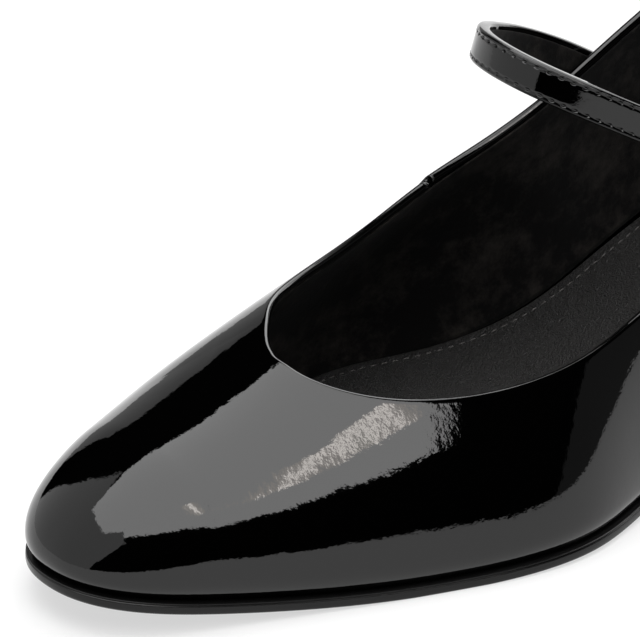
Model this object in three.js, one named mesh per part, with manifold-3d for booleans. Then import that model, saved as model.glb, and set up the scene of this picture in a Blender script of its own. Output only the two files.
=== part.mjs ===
import * as THREE from 'three';
import Module from 'manifold-3d';
import { mergeVertices } from 'three/addons/utils/BufferGeometryUtils.js';

// Left mary jane shoe, millimetres, +Z up. The origin is on the floor under the middle of the heel's
// top piece, the toe points to -Y and the outer (lateral) side is +X.
// A station is the distance back from the toe tip along the shoe.

const wasm = await Module();
wasm.setup();

const size = {
  length: 246,          // last length, toe tip to heel back
  originStation: 222,   // middle of the top piece
  wall: 1.8,            // upper and lining together
  gap: 0.3,             // between pieces that meet
  underInset: 1.5,      // how far the upper curls in from its widest line to the sole
  soleThickness: 2.35,
  heelSeatInset: 1.5,   // the sole is this much smaller than the widest outline under the heel
  insoleThickness: 3.2,
  toeRound: 83,         // plan rounding of the toe starts this far back
  toeRoundPower: 2.18,
  heelRound: 32,
  heelRoundPower: 2.3,
  noseRound: 23.5,      // the same for the height of the nose and of the heel back
  noseRoundPower: 1.75,
  backRound: 40,
  backRoundPower: 2.6,
  ridgeFrom: 64,        // a wall column at the toe leans towards this station of the ridge
  ridgeTo: 216,         // and one at the heel towards this one
};

const shellColumns = 92;
const shellRows = 13;
const rowPower = 1.35; // over 1, the rows are closer together low on the wall

// lateral, medial: half widths at the widest line; shift: the ridge's place across;
// ridge: the last's height over the feather edge; seat: the feather edge over the floor;
// widest: the widest line over the feather edge; side, crown: powers that round the
// section, for each half
const lastColumns = [
  'station', 'lateral', 'medial', 'shift', 'ridge', 'seat', 'widest', 'lateralSide', 'medialSide',
  'lateralCrown', 'medialCrown',
];
const lastRows = [
  [0, 33.6, 33.7, -1.9, 17.8, 9.6, 3.2, 2.2, 2.2, 1.8, 2.1],
  [22, 32.1, 32.7, -2.9, 24.4, 5.7, 4.3, 2.3, 2.1, 1.73, 1.9],
  [45, 34.3, 36, -2.2, 33.9, 3, 4.7, 2.1, 2.05, 1.67, 1.8],
  [70, 38.6, 37.6, -0.3, 44.8, 2.3, 4.3, 2, 2.05, 1.5, 1.7],
  [95, 42.2, 39.9, 0, 51.7, 3.1, 4.5, 2, 2.05, 1.55, 1.73],
  [115, 37.1, 34.3, -0.4, 62.7, 4, 4.8, 2.15, 2.2, 1.77, 1.87],
  [135, 33.2, 28.5, -0.2, 72, 9, 6.1, 2.3, 2.3, 1.9, 1.93],
  [155, 30.9, 27.9, -0.1, 78.6, 16.6, 8, 2.25, 2.25, 1.85, 1.85],
  [175, 29.3, 27.3, 0, 82.5, 24.5, 11.5, 2.2, 2.2, 1.8, 1.8],
  [195, 28.6, 27.3, 0, 88, 32.5, 15.5, 2.2, 2.2, 1.75, 1.75],
  [220, 28, 27.5, 0, 95, 37.5, 19, 2.2, 2.2, 1.75, 1.75],
  [246, 26, 26, 0, 100, 39, 20, 2.2, 2.2, 1.8, 1.8],
];

// rise: from the widest line up the wall to the topline, by angle round the outline
// (0 at the toe tip, positive on the lateral side)
const riseRows = [
  [-180, 37], [-160, 36.8], [-135, 38.3], [-110, 43.7], [-90, 47.4], [-70, 45.4], [-52, 45.4],
  [-36, 51.9], [-22, 57.7], [-10, 60.4], [0, 60.5], [10, 58.6], [22, 53.5], [36, 43.6], [52, 33.7],
  [70, 31], [90, 33.4], [110, 33.6], [135, 35.2], [160, 36.4], [180, 37],
];

const heel = {
  breastStation: 188,   // front of the heel where it meets the sole
  topInset: 2.3,        // inside the widest outline
  footFront: 203,       // the top piece, from here
  footBack: 243,        // to here
  footHalfWidth: 20.5,
  footPower: 2.5,
  breastHollow: 2.5,
  liftThickness: 5,
  waist: 1.4,           // power that draws the heel in quickly under the seat
};

const strap = {
  width: 6.6,
  thickness: 2.5,
  lean: 71,             // degrees from the floor to the hoop's axis, towards the heel
  wallClearance: 0.35,
  tabThickness: 1,
  tabWidth: 6.4,
  holeSize: 2.4,
  prongSlot: 2.3,       // in the tab's loop, for the prong
};

// the strap's middle line: x across, station, height; a leg row has no x and lies off the wall
// by its own distance
const strapRows = [
  { side: -1, station: 169, height: 48.2, off: 1.6 },
  { side: -1, station: 160, height: 53.6, off: 1.6 },
  { side: -1, station: 151, height: 59.6, off: 1.7 },
  { x: -24.4, station: 141, height: 66.1 },
  { x: -23.1, station: 131, height: 71.6 },
  { x: -20, station: 121.8, height: 76.2 },
  { x: -14.7, station: 113.3, height: 80.4 },
  { x: -7.6, station: 107.7, height: 82.8 },
  { x: -0.1, station: 105.9, height: 83.3 },
  { x: 7.4, station: 107.3, height: 82.2 },
  { x: 14.1, station: 112.2, height: 79.3 },
  { x: 19.5, station: 119.8, height: 74.9 },
  { x: 23.9, station: 128.4, height: 69.9 },
  { x: 28, station: 138, height: 64.2 },
  { x: 31.7, station: 148, height: 57.6 },
  { side: 1, station: 157, height: 51.3, off: 6.1 },
  { side: 1, station: 164, height: 45.3, off: 4.4 },
  { side: 1, station: 171, height: 39.3, off: 3.3 },
  { side: 1, station: 178, height: 33.4, off: 3.2 },
];

// places on the lateral leg, as stations
const buckle = {
  barStation: 157.5,
  barHeight: 50.6,
  barOff: 2.45,         // middle of the bar off the wall
  reach: 10.5,          // heel bar to outer bar
  span: 10.4,           // between the middles of the side bars
  wire: 1.6,
  outerBarOff: 8.4,     // and of the outer bar
  keeperStation: 167.5,
  keeperHeight: 42.2,
  keeperTop: 5.5,       // clear height under it
  keeperWidth: 3.6,
  keeperWall: 1,
};

// natural cubic spline through a table, held at its ends
function naturalSpline(xs, ys) {
  const count = xs.length;
  const bend = new Array(count).fill(0);
  const upper = new Array(count).fill(0);
  const right = new Array(count).fill(0);
  for (let i = 1; i < count - 1; i++) {
    const before = xs[i] - xs[i - 1];
    const after = xs[i + 1] - xs[i];
    const slopeChange = (ys[i + 1] - ys[i]) / after - (ys[i] - ys[i - 1]) / before;
    const pivot = 2 * (before + after) - before * upper[i - 1];
    upper[i] = after / pivot;
    right[i] = (6 * slopeChange - before * right[i - 1]) / pivot;
  }
  for (let i = count - 2; i > 0; i--) {
    bend[i] = right[i] - upper[i] * bend[i + 1];
  }
  return (value) => {
    const x = Math.min(Math.max(value, xs[0]), xs[count - 1]);
    let i = 0;
    while (i < count - 2 && x > xs[i + 1]) i++;
    const step = xs[i + 1] - xs[i];
    const left = x - xs[i];
    const rest = xs[i + 1] - x;
    const cubic = (bend[i] * rest ** 3 + bend[i + 1] * left ** 3) / (6 * step);
    const start = (ys[i] / step - bend[i] * step / 6) * rest;
    return cubic + start + (ys[i + 1] / step - bend[i + 1] * step / 6) * left;
  };
}

const last = {};
for (const name of lastColumns.slice(1)) {
  const column = lastColumns.indexOf(name);
  last[name] = naturalSpline(lastRows.map((row) => row[0]), lastRows.map((row) => row[column]));
}

// the rise table goes round the outline, so its ends are wrapped past each other
const wrapped = [
  ...riseRows.slice(-4, -1).map(([angle, rise]) => [angle - 360, rise]),
  ...riseRows,
  ...riseRows.slice(1, 4).map(([angle, rise]) => [angle + 360, rise]),
];
const riseAt = naturalSpline(wrapped.map((row) => row[0]), wrapped.map((row) => row[1]));

// 1 in the middle, falling to 0 at both ends as a superellipse does
function endRounding(station, front, frontPower, back, backPower) {
  const a = Math.max(0, 1 - station / front);
  const b = Math.max(0, 1 - (size.length - station) / back);
  const toe = Math.max(0, 1 - a ** frontPower) ** (1 / frontPower);
  return toe * Math.max(0, 1 - b ** backPower) ** (1 / backPower);
}

function halfWidth(station, side) {
  const widest = side > 0 ? last.lateral(station) : last.medial(station);
  return widest * endRounding(
    station, size.toeRound, size.toeRoundPower, size.heelRound, size.heelRoundPower);
}

function sectionPowers(station, side) {
  if (side > 0) return { side: last.lateralSide(station), crown: last.lateralCrown(station) };
  return { side: last.medialSide(station), crown: last.medialCrown(station) };
}

// height of the last over the floor above its widest line
function topHeight(x, station) {
  const across = x - last.shift(station);
  const ratio = Math.min(1, Math.abs(across) / Math.max(halfWidth(station, across), 1e-6));
  const rounding = endRounding(
    station, size.noseRound, size.noseRoundPower, size.backRound, size.backRoundPower);
  const widest = last.widest(station);
  const powers = sectionPowers(station, across);
  const dome = (1 - ratio ** powers.side) ** (1 / powers.crown);
  return last.seat(station) + widest + (last.ridge(station) - widest) * rounding * dome;
}

// the same surface the other way round: how far out the wall is at a station and height
function wallPoint(side, station, height) {
  const widest = last.widest(station);
  const climb = (height - last.seat(station) - widest) / (last.ridge(station) - widest);
  const powers = sectionPowers(station, side);
  const dome = Math.max(0, climb) ** powers.crown;
  const ratio = (1 - dome) ** (1 / powers.side);
  const x = last.shift(station) + side * halfWidth(station, side) * ratio;
  return new THREE.Vector3(x, station - size.originStation, height);
}

function wallNormal(side, station, height) {
  const along = wallPoint(side, station + 1, height).sub(wallPoint(side, station - 1, height));
  const up = wallPoint(side, station, height + 1).sub(wallPoint(side, station, height - 1));
  return along.cross(up).normalize().multiplyScalar(side);
}

// a point of the widest outline, with the direction that points in from it
function outlinePoint(angle) {
  const station = size.length * (1 - Math.cos(THREE.MathUtils.degToRad(angle))) / 2;
  const turned = ((angle + 540) % 360) - 180;
  const side = turned >= 0 ? 1 : -1;
  const x = last.shift(station) + side * halfWidth(station, side);
  return { x, station, side };
}

function outlineFrame(angle) {
  const here = outlinePoint(angle);
  const next = outlinePoint(angle + 0.5);
  const prior = outlinePoint(angle - 0.5);
  const along = new THREE.Vector2(next.x - prior.x, next.station - prior.station).normalize();
  return { ...here, inX: -along.y, inStation: along.x };
}

// one column of the upper's outer face, from the feather edge up to the topline
function wallColumn(angle) {
  const frame = outlineFrame(angle);
  const seat = last.seat(frame.station);
  const widest = last.widest(frame.station);
  const points = [];
  const lowSteps = 10;
  for (let i = 0; i < lowSteps; i++) {
    const climb = i / lowSteps;
    const inset = size.underInset * (1 - climb) ** 2.2;
    points.push(new THREE.Vector3(
      frame.x + frame.inX * inset,
      frame.station + frame.inStation * inset,
      seat + size.gap + (widest - size.gap) * climb));
  }
  const target = size.ridgeFrom + (size.ridgeTo - size.ridgeFrom) * frame.station / size.length;
  const targetX = last.shift(target);
  let climbed = 0;
  const rise = riseAt(((angle + 540) % 360) - 180);
  let before = new THREE.Vector3(frame.x, frame.station, seat + widest);
  points.push(before.clone());
  const highSteps = 160;
  for (let i = 1; i <= highSteps; i++) {
    const share = (i / highSteps) ** 2;
    const x = frame.x + (targetX - frame.x) * share;
    const station = frame.station + (target - frame.station) * share;
    const point = new THREE.Vector3(x, station, topHeight(x, station));
    const step = point.distanceTo(before);
    if (climbed + step >= rise) {
      points.push(before.clone().lerp(point, (rise - climbed) / step));
      break;
    }
    climbed += step;
    points.push(point);
    before = point;
  }
  return evenlySpaced(points, shellRows);
}

function evenlySpaced(points, count) {
  const lengths = [0];
  for (let i = 1; i < points.length; i++) {
    lengths.push(lengths[i - 1] + points[i].distanceTo(points[i - 1]));
  }
  const total = lengths[points.length - 1];
  const out = [];
  let k = 0;
  for (let i = 0; i < count; i++) {
    const wanted = total * (i / (count - 1)) ** rowPower;
    while (k < points.length - 2 && lengths[k + 1] < wanted) k++;
    const share = (wanted - lengths[k]) / (lengths[k + 1] - lengths[k]);
    out.push(points[k].clone().lerp(points[k + 1], Math.min(1, share)));
  }
  return out;
}

const columnAngles = Array.from({ length: shellColumns }, (_, i) => -180 + 360 * (i + 0.5) / shellColumns);
const outerGrid = columnAngles.map(wallColumn);
const innerGrid = offsetGrid(outerGrid, size.wall);

// the grid moved in along its own normals; its lowest row moves level
function offsetGrid(grid, distance) {
  const count = grid.length;
  return grid.map((column, c) => column.map((point, r) => {
    const next = grid[(c + 1) % count][r];
    const prior = grid[(c - 1 + count) % count][r];
    const above = column[Math.min(r + 1, column.length - 1)];
    const below = column[Math.max(r - 1, 0)];
    const normal = next.clone().sub(prior).cross(above.clone().sub(below)).normalize();
    if (r > 0) return point.clone().addScaledVector(normal, -distance);
    const level = Math.hypot(normal.x, normal.y);
    return point.clone().add(new THREE.Vector3(
      -normal.x * distance / level ** 2, -normal.y * distance / level ** 2, 0));
  }));
}

// a closed body from rings of points: each ring is joined to the next, and the last to the first
function ringsToGeometry(rings, closed) {
  const count = rings[0].length;
  const positions = [];
  for (const ring of rings) {
    for (const point of ring) positions.push(point.x, point.y, point.z);
  }
  const indices = [];
  const bands = closed ? rings.length : rings.length - 1;
  for (let i = 0; i < bands; i++) {
    const low = i * count;
    const high = ((i + 1) % rings.length) * count;
    for (let j = 0; j < count; j++) {
      const k = (j + 1) % count;
      indices.push(low + j, low + k, high + k, low + j, high + k, high + j);
    }
  }
  if (!closed) {
    for (const [ring, flip] of [[0, true], [rings.length - 1, false]]) {
      addCap(rings[ring], ring * count, flip, indices, positions);
    }
  }
  const geometry = new THREE.BufferGeometry();
  geometry.setAttribute('position', new THREE.Float32BufferAttribute(positions, 3));
  geometry.setIndex(indices);
  return facingOut(geometry);
}

// the end of a body, as a strip between its two halves: ring point j faces point count - 1 - j
function addCap(ring, base, flip, indices) {
  const count = ring.length;
  for (let j = 0; j < count / 2 - 1; j++) {
    const a = base + j;
    const b = base + j + 1;
    const c = base + count - 2 - j;
    const d = base + count - 1 - j;
    const faces = b === c ? [[a, b, d]] : [[a, b, c], [a, c, d]];
    for (const [p, q, r] of faces) indices.push(...(flip ? [p, r, q] : [p, q, r]));
  }
}

function facingOut(geometry) {
  const position = geometry.attributes.position;
  const index = geometry.index.array;
  const corner = [new THREE.Vector3(), new THREE.Vector3(), new THREE.Vector3()];
  let volume = 0;
  for (let i = 0; i < index.length; i += 3) {
    corner.forEach((point, k) => point.fromBufferAttribute(position, index[i + k]));
    volume += corner[0].dot(corner[1].clone().cross(corner[2]));
  }
  if (volume < 0) {
    for (let i = 0; i < index.length; i += 3) {
      [index[i + 1], index[i + 2]] = [index[i + 2], index[i + 1]];
    }
  }
  geometry.computeVertexNormals();
  return geometry;
}

function toFrame(point) {
  return new THREE.Vector3(point.x, point.y - size.originStation, point.z);
}

// Upper: the outer rows up, over the topline, the inner rows down, and back under the feather edge
function upperGeometry() {
  const rings = [];
  for (let r = 0; r < shellRows; r++) rings.push(outerGrid.map((column) => toFrame(column[r])));
  for (let r = shellRows - 1; r >= 0; r--) rings.push(innerGrid.map((column) => toFrame(column[r])));
  return ringsToGeometry(rings, true);
}

const flatAngles = Array.from({ length: shellColumns }, (_, i) => -180 + 360 * (i + 0.5) / shellColumns);

// the sole's edge: the widest outline, drawn in under the heel
function soleEdgePoint(angle) {
  const frame = outlineFrame(angle);
  const inset = size.heelSeatInset * THREE.MathUtils.smoothstep(frame.station, 140, 190);
  return { x: frame.x + frame.inX * inset, station: frame.station + frame.inStation * inset };
}

// Outsole: the widest outline, one thickness all along, with its tread flat on the floor
function outsoleGeometry() {
  const top = [];
  const bottom = [];
  for (const angle of flatAngles) {
    const { x, station } = soleEdgePoint(angle);
    const seat = last.seat(station);
    top.push(new THREE.Vector3(x, station - size.originStation, seat));
    const under = Math.max(0, seat - size.soleThickness);
    bottom.push(new THREE.Vector3(x, station - size.originStation, under));
  }
  return ringsToGeometry([bottom, top], false);
}

// Insole: fills the feather edge inside the upper, a gap away from it all round
function insoleGeometry() {
  const bottom = [];
  const top = [];
  flatAngles.forEach((angle, c) => {
    const frame = outlineFrame(angle);
    const foot = innerGrid[c][0];
    const low = new THREE.Vector3(
      foot.x + frame.inX * size.gap, foot.y + frame.inStation * size.gap,
      last.seat(foot.y) + size.gap);
    bottom.push(toFrame(low));
    top.push(toFrame(low.clone().setZ(low.z + size.insoleThickness)));
  });
  return ringsToGeometry([bottom, top], false);
}

// one level ring of the heel: its back follows the sole's outline at the top and a
// superellipse at the foot, and its front is a hollowed breast
function heelRing(share, levelAt) {
  const backPoints = 30;
  const breastPoints = 6;
  const startAngle = THREE.MathUtils.radToDeg(Math.acos(1 - 2 * heel.breastStation / size.length));
  const ring = [];
  const blend = share ** heel.waist;
  const middle = (heel.footFront + heel.footBack) / 2;
  const reach = (heel.footBack - heel.footFront) / 2;
  for (let i = 0; i <= backPoints; i++) {
    const around = i / backPoints;
    const frame = outlineFrame(startAngle + (360 - 2 * startAngle) * around);
    const topX = frame.x + frame.inX * heel.topInset;
    const topStation = frame.station + frame.inStation * heel.topInset;
    const turn = (around - 0.5) * THREE.MathUtils.degToRad(260);
    const power = 2 / heel.footPower;
    const footX = -Math.sign(Math.sin(turn)) * heel.footHalfWidth * Math.abs(Math.sin(turn)) ** power;
    const forward = Math.cos(turn);
    const footStation = middle + Math.sign(forward) * reach * Math.abs(forward) ** power;
    ring.push({ x: footX + (topX - footX) * blend, station: footStation + (topStation - footStation) * blend });
  }
  const first = ring[0];
  const end = ring[backPoints];
  for (let i = 1; i < breastPoints; i++) {
    const across = i / breastPoints;
    const hollow = heel.breastHollow * Math.sin(Math.PI * across);
    ring.push({
      x: end.x + (first.x - end.x) * across,
      station: end.station + (first.station - end.station) * across + hollow,
    });
  }
  return ring.map(({ x, station }) => new THREE.Vector3(x, station - size.originStation, levelAt(station)));
}

function heelGeometry() {
  const rings = [];
  const low = heel.liftThickness + size.gap;
  const levels = 9;
  for (let i = 0; i < levels; i++) {
    const share = i / (levels - 1);
    rings.push(heelRing(share, (station) => {
      const high = last.seat(station) - size.soleThickness - size.gap;
      return low + (high - low) * share;
    }));
  }
  return ringsToGeometry(rings, false);
}

function topLiftGeometry() {
  return ringsToGeometry([heelRing(0, () => 0), heelRing(0, () => heel.liftThickness)], false);
}

// place, along, out and across directions at a spot of a leg, off the wall by a distance
function legPoint(side, station, height, off) {
  const normal = wallNormal(side, station, height);
  return wallPoint(side, station, height).addScaledVector(normal, off);
}

const strapPoints = strapRows.map((row) => (row.side
  ? legPoint(row.side, row.station, row.height, row.off)
  : new THREE.Vector3(row.x, row.station - size.originStation, row.height)));
const strapCurve = new THREE.CatmullRomCurve3(strapPoints, false, 'centripetal');

// the band's face turns from the hoop's lean to the wall it lies on
function bandFrame(curve, share) {
  const point = curve.getPointAt(share);
  const along = curve.getTangentAt(share);
  const lean = THREE.MathUtils.degToRad(strap.lean);
  const hoopAxis = new THREE.Vector3(0, Math.cos(lean), Math.sin(lean));
  const side = point.x > 0 ? 1 : -1;
  const station = point.y + size.originStation;
  const normal = wallNormal(side, Math.max(station, 146), Math.min(point.z, 62));
  const onWall = THREE.MathUtils.smoothstep(station, 128, 154);
  const wallAcross = along.clone().cross(normal).multiplyScalar(side > 0 ? 1 : -1);
  if (wallAcross.dot(hoopAxis) < 0) wallAcross.negate();
  const across = hoopAxis.lerp(wallAcross.normalize(), onWall);
  across.addScaledVector(along, -across.dot(along)).normalize();
  const out = across.clone().cross(along).normalize();
  return { point, along, across, out };
}

// rounded rectangular section, counted so that the cap's two halves face each other
function bandSection(width, thickness, corner) {
  const w = width / 2;
  const t = thickness / 2;
  return [
    [-w, t - corner], [-w + corner, t], [0, t], [w - corner, t], [w, t - corner],
    [w, corner - t], [w - corner, -t], [0, -t], [-w + corner, -t], [-w, corner - t],
  ];
}

function sweepBand(frames, section) {
  const rings = frames.map(({ point, across, out }) => section.map(([w, t]) => (
    point.clone().addScaledVector(across, w).addScaledVector(out, t))));
  return ringsToGeometry(rings, false);
}

function toManifold(geometry) {
  const bare = geometry.clone();
  bare.deleteAttribute('normal');
  if (bare.attributes.uv) bare.deleteAttribute('uv');
  const merged = mergeVertices(bare, 1e-5);
  return new wasm.Manifold(new wasm.Mesh({
    numProp: 3,
    vertProperties: new Float32Array(merged.attributes.position.array),
    triVerts: new Uint32Array(merged.index.array),
  }));
}

function fromManifold(solid) {
  const mesh = solid.getMesh();
  const geometry = new THREE.BufferGeometry();
  geometry.setAttribute('position', new THREE.Float32BufferAttribute(mesh.vertProperties, 3));
  geometry.setIndex(Array.from(mesh.triVerts));
  geometry.computeVertexNormals();
  return geometry;
}

// directions at the buckle: along the leg towards its tip, across it, and out from the wall
function buckleFrame() {
  const side = 1;
  const point = wallPoint(side, buckle.barStation, buckle.barHeight);
  const out = wallNormal(side, buckle.barStation, buckle.barHeight);
  const share = nearestShare(point);
  const along = strapCurve.getTangentAt(share);
  along.addScaledVector(out, -along.dot(out)).normalize();
  const across = out.clone().cross(along).normalize();
  return { point, along, across, out };
}

function nearestShare(place) {
  let best = 0;
  let least = Infinity;
  for (let i = 0; i <= 400; i++) {
    const distance = strapCurve.getPointAt(i / 400).distanceTo(place);
    if (distance < least) {
      least = distance;
      best = i / 400;
    }
  }
  return best;
}

function strapGeometry(holeFrame) {
  const steps = 64;
  const frames = Array.from({ length: steps + 1 }, (_, i) => bandFrame(strapCurve, i / steps));
  const band = sweepBand(frames, bandSection(strap.width, strap.thickness, 0.5));
  const hole = new THREE.BoxGeometry(strap.holeSize, strap.holeSize, 12);
  hole.applyMatrix4(holeFrame);
  return fromManifold(toManifold(band).subtract(toManifold(hole)));
}

function placeMatrix(frame, along, across, out) {
  const origin = frame.point.clone()
    .addScaledVector(frame.along, along)
    .addScaledVector(frame.across, across)
    .addScaledVector(frame.out, out);
  return new THREE.Matrix4().makeBasis(frame.along, frame.across, frame.out).setPosition(origin);
}

// Buckle frame: a closed square-cornered ring of wire, its outer bar raised over the strap
function buckleRingGeometry() {
  const { reach, span, wire, barOff, outerBarOff } = buckle;
  const half = span / 2;
  const corner = 1.6;
  const corners = [
    [0, -half], [0, half], [-reach, half], [-reach, -half],
  ];
  const path = [];
  corners.forEach(([a, w], i) => {
    const [pa, pw] = corners[(i + 3) % 4];
    const [na, nw] = corners[(i + 1) % 4];
    const toPrior = new THREE.Vector2(pa - a, pw - w).setLength(corner);
    const toNext = new THREE.Vector2(na - a, nw - w).setLength(corner);
    for (const share of [0, 0.25, 0.5, 0.75, 1]) {
      const keep = (1 - share) ** 2;
      const gain = share ** 2;
      path.push([a + toPrior.x * keep + toNext.x * gain, w + toPrior.y * keep + toNext.y * gain]);
    }
  });
  const sides = 8;
  const rings = path.map(([a, w], i) => {
    const [pa, pw] = path[(i + path.length - 1) % path.length];
    const [na, nw] = path[(i + 1) % path.length];
    const raise = (value) => barOff + (outerBarOff - barOff) * THREE.MathUtils.smoothstep(-value, 0, reach);
    const tangent = new THREE.Vector3(na - pa, nw - pw, raise(na) - raise(pa)).normalize();
    const level = new THREE.Vector3(tangent.y, -tangent.x, 0).normalize();
    const up = level.clone().cross(tangent).normalize();
    return Array.from({ length: sides }, (_, k) => {
      const turn = 2 * Math.PI * k / sides;
      return new THREE.Vector3(a, w, raise(a))
        .addScaledVector(level, Math.cos(turn) * wire / 2)
        .addScaledVector(up, Math.sin(turn) * wire / 2);
    });
  });
  return ringsToGeometry(rings, true);
}

// Prong: hooked round the heel bar, up through the strap's hole and out to the outer bar
function prongGeometry() {
  const { reach, wire, barOff, outerBarOff } = buckle;
  const width = 1.5;
  const thick = 0.9;
  const grip = wire / 2 + size.gap + thick / 2;
  const route = [];
  for (let i = 0; i <= 8; i++) {
    const turn = THREE.MathUtils.degToRad(-170 + 200 * i / 8);
    route.push([Math.cos(turn) * -grip, Math.sin(turn) * -grip + barOff]);
  }
  const resting = outerBarOff + grip;
  route.push([-2.6, barOff + grip + 3.2]);
  route.push([-4.6, resting - 1.1]);
  route.push([-reach * 0.75, resting]);
  route.push([-reach - 0.6, resting + 0.1]);
  const curve = new THREE.CatmullRomCurve3(
    route.map(([a, o]) => new THREE.Vector3(a, 0, o)), false, 'centripetal');
  const steps = 26;
  const frames = Array.from({ length: steps + 1 }, (_, i) => {
    const along = curve.getTangentAt(i / steps);
    const across = new THREE.Vector3(0, 1, 0);
    return { point: curve.getPointAt(i / steps), across, out: across.clone().cross(along) };
  });
  return sweepBand(frames, bandSection(width, thick, 0.2));
}

// Tab: flat on the quarter, its end looped round the heel bar and slotted for the prong
function tabGeometry(frame) {
  const inner = buckle.wire / 2 + size.gap;
  const middle = inner + strap.tabThickness / 2;
  const route = [];
  for (let i = 0; i <= 10; i++) {
    const turn = THREE.MathUtils.degToRad(50 + 220 * i / 10);
    const along = Math.cos(turn) * middle;
    const out = buckle.barOff + Math.sin(turn) * middle;
    route.push(frame.point.clone().addScaledVector(frame.along, along).addScaledVector(frame.out, out));
  }
  for (const row of [[162.5, 46.4], [167, 42.6], [171.5, 38.8], [176.5, 34.7]]) {
    route.push(legPoint(1, row[0], row[1], strap.wallClearance + strap.tabThickness / 2 + 0.05));
  }
  const curve = new THREE.CatmullRomCurve3(route, false, 'centripetal');
  const steps = 40;
  const frames = Array.from({ length: steps + 1 }, (_, i) => {
    const along = curve.getTangentAt(i / steps);
    const point = curve.getPointAt(i / steps);
    const across = frame.across.clone();
    const share = THREE.MathUtils.smoothstep(point.y + size.originStation, 158, 163);
    if (share > 0) {
      const normal = wallNormal(1, point.y + size.originStation, point.z);
      across.lerp(normal.cross(along).normalize(), share);
    }
    across.addScaledVector(along, -across.dot(along)).normalize();
    return { point, across, out: across.clone().cross(along) };
  });
  const band = sweepBand(frames, bandSection(strap.tabWidth, strap.tabThickness, 0.25));
  const slot = new THREE.BoxGeometry(7.4, strap.prongSlot, 9);
  slot.applyMatrix4(placeMatrix(frame, 0, 0, buckle.barOff));
  return fromManifold(toManifold(band).subtract(toManifold(slot)));
}

// Keeper: a bridge over the strap and the tab, its two feet on the quarter
function keeperGeometry() {
  const normal = wallNormal(1, buckle.keeperStation, buckle.keeperHeight);
  const place = wallPoint(1, buckle.keeperStation, buckle.keeperHeight);
  const along = strapCurve.getTangentAt(nearestShare(place));
  along.addScaledVector(normal, -along.dot(normal)).normalize();
  const across = normal.clone().cross(along).normalize();
  const halfSpan = strap.width / 2 + size.gap + 0.1;
  const top = buckle.keeperTop;
  const wall = buckle.keeperWall;
  const outline = new THREE.Shape();
  const foot = 0.45;
  outline.moveTo(-halfSpan - wall, foot);
  outline.lineTo(-halfSpan - wall, top + wall - 0.8);
  outline.quadraticCurveTo(-halfSpan - wall, top + wall, -halfSpan - wall + 0.8, top + wall);
  outline.lineTo(halfSpan + wall - 0.8, top + wall);
  outline.quadraticCurveTo(halfSpan + wall, top + wall, halfSpan + wall, top + wall - 0.8);
  outline.lineTo(halfSpan + wall, foot);
  outline.lineTo(halfSpan, foot);
  outline.lineTo(halfSpan, top);
  outline.lineTo(-halfSpan, top);
  outline.lineTo(-halfSpan, foot);
  const geometry = new THREE.ExtrudeGeometry(outline, {
    depth: buckle.keeperWidth, bevelEnabled: false, curveSegments: 4,
  });
  geometry.translate(0, 0, -buckle.keeperWidth / 2);
  geometry.applyMatrix4(new THREE.Matrix4().makeBasis(across, normal, along.clone()).setPosition(place));
  return geometry;
}

const finishes = {
  patent: { color: 0x0a0a0b, roughness: 0.06, metalness: 0 },
  sock: { color: 0x1c1a19, roughness: 0.6, metalness: 0 },
  rubber: { color: 0x121212, roughness: 0.45, metalness: 0 },
  metal: { color: 0xc9c7c2, roughness: 0.2, metalness: 1 },
};

const group = new THREE.Group();

function addPiece(name, geometry, finish) {
  const mesh = new THREE.Mesh(geometry, new THREE.MeshStandardMaterial(finishes[finish]));
  mesh.name = name;
  group.add(mesh);
}

const spot = buckleFrame();
const onQuarter = placeMatrix(spot, 0, 0, 0);
addPiece('upper', upperGeometry(), 'patent');
addPiece('outsole', outsoleGeometry(), 'rubber');
addPiece('insole', insoleGeometry(), 'sock');
addPiece('heel_block', heelGeometry(), 'patent');
addPiece('top_lift', topLiftGeometry(), 'rubber');
addPiece('instep_strap', strapGeometry(placeMatrix(spot, -2.4, 0, 5)), 'patent');
addPiece('buckle_tab', tabGeometry(spot), 'patent');
addPiece('keeper_loop', keeperGeometry(), 'patent');
addPiece('buckle_frame', buckleRingGeometry().applyMatrix4(onQuarter), 'metal');
addPiece('buckle_prong', prongGeometry().applyMatrix4(onQuarter), 'metal');

export default group;
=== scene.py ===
import math
import bmesh
import bpy
import numpy as np
from mathutils import Matrix, Vector


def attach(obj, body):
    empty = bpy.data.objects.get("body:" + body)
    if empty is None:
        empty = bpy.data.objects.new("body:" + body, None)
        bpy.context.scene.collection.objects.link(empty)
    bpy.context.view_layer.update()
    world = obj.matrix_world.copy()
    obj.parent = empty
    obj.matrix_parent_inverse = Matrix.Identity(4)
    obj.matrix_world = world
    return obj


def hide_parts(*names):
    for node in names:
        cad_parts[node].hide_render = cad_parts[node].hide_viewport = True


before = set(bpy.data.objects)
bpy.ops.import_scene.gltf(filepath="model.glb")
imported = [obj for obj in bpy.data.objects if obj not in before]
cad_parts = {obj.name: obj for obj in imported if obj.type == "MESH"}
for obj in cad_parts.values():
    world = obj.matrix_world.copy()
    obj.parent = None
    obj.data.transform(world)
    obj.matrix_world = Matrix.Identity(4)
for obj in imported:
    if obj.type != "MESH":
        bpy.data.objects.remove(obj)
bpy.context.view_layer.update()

# Left mary jane shoe. Shapes are worked out in millimetres as (across, station, height), where a
# station is the distance back from the toe tip, and toFrame turns them into the frame's metres.
bpy.context.scene.view_settings.view_transform = "Standard"

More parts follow.
